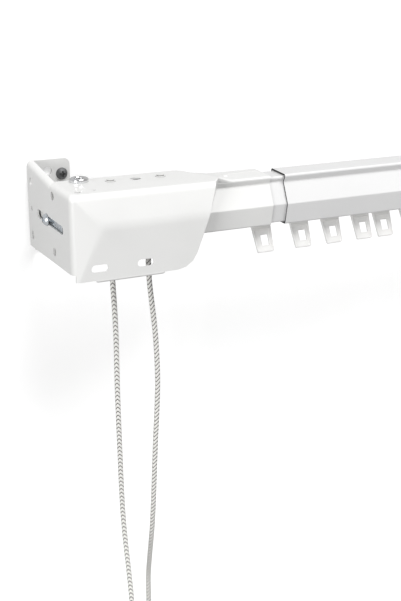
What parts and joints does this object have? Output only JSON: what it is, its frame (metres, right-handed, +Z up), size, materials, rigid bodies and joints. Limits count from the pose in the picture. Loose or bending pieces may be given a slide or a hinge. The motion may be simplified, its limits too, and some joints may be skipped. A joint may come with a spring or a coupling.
{
  "type": "corded curtain track",
  "caption": "Telescoping white cord-draw curtain track on two wall brackets, with stamped end housings, pulleys, hook carriers and a looped draw cord tied in a hank.",
  "frame": {"origin": "centre of the left bracket's wall face", "axes": "+X along the rail to the right as seen from the room, +Y into the wall, +Z up"},
  "size_m": [0.7671, 0.0778, 0.355],
  "materials": {
    "white_enamel": "satin white enamel on sheet steel",
    "rail_enamel": "smooth white enamel on rolled steel strip",
    "rivet_enamel": "white enamel on domed rivets",
    "grey_screw": "dull grey zinc",
    "bright_zinc": "bright bluish zinc plating",
    "bright_chrome": "bright nickel plating",
    "pulley_plastic": "natural white acetal",
    "carrier_plastic": "milky warm white nylon",
    "braided_cord": "braided white cord with grey flecks",
    "tie_plastic": "soft white band"
  },
  "bodies": {
    "wall_bracket_left": {"bracket_left": "white_enamel", "wall_screws_left": "grey_screw", "clamp_strip_left": "bright_zinc", "clamp_screw_left": "bright_zinc", "clamp_nut_left": "bright_zinc"},
    "left_end": {"housing_left": "white_enamel", "inner_rail": "rail_enamel", "eyelet_left": "bright_chrome", "pulley_block_left": "pulley_plastic", "block_rivets_left": "rivet_enamel", "pulley_axles_left": "bright_zinc", "track_cord": "braided_cord", "draw_cord_left": "braided_cord", "draw_cord_right": "braided_cord", "cord_hank": "braided_cord", "cord_tie": "tie_plastic"},
    "draw_pulley_a": {"draw_pulley_a": "pulley_plastic"},
    "draw_pulley_b": {"draw_pulley_b": "pulley_plastic"},
    "right_end": {"outer_rail": "rail_enamel", "housing_right": "white_enamel", "eyelet_right": "bright_chrome", "pulley_block_right": "pulley_plastic", "block_rivets_right": "rivet_enamel", "pulley_axle_right": "bright_zinc"},
    "return_pulley": {"return_pulley": "pulley_plastic"},
    "wall_bracket_right": {"bracket_right": "white_enamel", "wall_screws_right": "grey_screw", "clamp_strip_right": "bright_zinc", "clamp_screw_right": "bright_zinc", "clamp_nut_right": "bright_zinc"},
    "master_left": {"master_carrier_left": "carrier_plastic"},
    "master_right": {"master_carrier_right": "carrier_plastic"},
    "carrier_left_1": {"carrier_left_1": "carrier_plastic"},
    "carrier_left_2": {"carrier_left_2": "carrier_plastic"},
    "carrier_left_3": {"carrier_left_3": "carrier_plastic"},
    "carrier_left_4": {"carrier_left_4": "carrier_plastic"},
    "carrier_left_5": {"carrier_left_5": "carrier_plastic"},
    "carrier_left_6": {"carrier_left_6": "carrier_plastic"},
    "carrier_right_1": {"carrier_right_1": "carrier_plastic"},
    "carrier_right_2": {"carrier_right_2": "carrier_plastic"},
    "carrier_right_3": {"carrier_right_3": "carrier_plastic"},
    "carrier_right_4": {"carrier_right_4": "carrier_plastic"},
    "carrier_right_5": {"carrier_right_5": "carrier_plastic"},
    "carrier_right_6": {"carrier_right_6": "carrier_plastic"}
  },
  "joints": [
    {"name": "projection", "type": "slide", "parent": "wall_bracket_left", "child": "left_end", "axis": [0, -1, 0], "range_m": [0, 0.014]},
    {"name": "telescope", "type": "slide", "parent": "left_end", "child": "right_end", "axis": [1, 0, 0], "range_m": [0, 0.457], "deforming": ["track_cord"]},
    {"name": "projection_right", "type": "slide", "parent": "right_end", "child": "wall_bracket_right", "axis": [0, 1, 0], "range_m": [0, 0.014]},
    {"name": "draw_left", "type": "slide", "parent": "left_end", "child": "master_left", "axis": [1, 0, 0], "range_m": [-0.095, 0]},
    {"name": "draw_right", "type": "slide", "parent": "right_end", "child": "master_right", "axis": [1, 0, 0], "range_m": [0, 0.095]},
    {"name": "pulley_a_spin", "type": "hinge", "parent": "left_end", "child": "draw_pulley_a", "pos_m": [0.02108, -0.06, 0.004], "axis": [0, 1, 0], "range_deg": [0, 700]},
    {"name": "pulley_b_spin", "type": "hinge", "parent": "left_end", "child": "draw_pulley_b", "pos_m": [0.04188, -0.06, -0.006], "axis": [0, 1, 0], "range_deg": [-700, 0]},
    {"name": "return_spin", "type": "hinge", "parent": "right_end", "child": "return_pulley", "pos_m": [0.70848, -0.06, 0.007], "axis": [0, 1, 0], "range_deg": [0, 1100]},
    {"name": "carrier_left_1_slide", "type": "slide", "parent": "left_end", "child": "carrier_left_1", "axis": [1, 0, 0], "range_m": [-0.014, 0.006]},
    {"name": "carrier_left_2_slide", "type": "slide", "parent": "left_end", "child": "carrier_left_2", "axis": [1, 0, 0], "range_m": [-0.006, 0.0041]},
    {"name": "carrier_left_3_slide", "type": "slide", "parent": "left_end", "child": "carrier_left_3", "axis": [1, 0, 0], "range_m": [-0.0041, 0.0041]},
    {"name": "carrier_left_4_slide", "type": "slide", "parent": "left_end", "child": "carrier_left_4", "axis": [1, 0, 0], "range_m": [-0.0041, 0.0012]},
    {"name": "carrier_left_5_slide", "type": "slide", "parent": "left_end", "child": "carrier_left_5", "axis": [1, 0, 0], "range_m": [-0.0012, 0.0034]},
    {"name": "carrier_left_6_slide", "type": "slide", "parent": "left_end", "child": "carrier_left_6", "axis": [1, 0, 0], "range_m": [-0.0034, 0.006]},
    {"name": "carrier_right_1_slide", "type": "slide", "parent": "right_end", "child": "carrier_right_1", "axis": [1, 0, 0], "range_m": [-0.0043, 0.004]},
    {"name": "carrier_right_2_slide", "type": "slide", "parent": "right_end", "child": "carrier_right_2", "axis": [1, 0, 0], "range_m": [-0.0033, 0.0043]},
    {"name": "carrier_right_3_slide", "type": "slide", "parent": "right_end", "child": "carrier_right_3", "axis": [1, 0, 0], "range_m": [-0.0028, 0.0033]},
    {"name": "carrier_right_4_slide", "type": "slide", "parent": "right_end", "child": "carrier_right_4", "axis": [1, 0, 0], "range_m": [-0.0033, 0.0028]},
    {"name": "carrier_right_5_slide", "type": "slide", "parent": "right_end", "child": "carrier_right_5", "axis": [1, 0, 0], "range_m": [-0.0033, 0.0033]},
    {"name": "carrier_right_6_slide", "type": "slide", "parent": "right_end", "child": "carrier_right_6", "axis": [1, 0, 0], "range_m": [-0.006, 0.0033]}
  ],
  "couplings": [
    {"joint": "projection_right", "follows": "projection", "ratio": 1},
    {"joint": "draw_right", "follows": "draw_left", "ratio": -1},
    {"joint": "pulley_a_spin", "follows": "draw_left", "rad_per_m": -125},
    {"joint": "pulley_b_spin", "follows": "draw_left", "rad_per_m": 125},
    {"joint": "return_spin", "follows": "draw_left", "rad_per_m": -200}
  ]
}
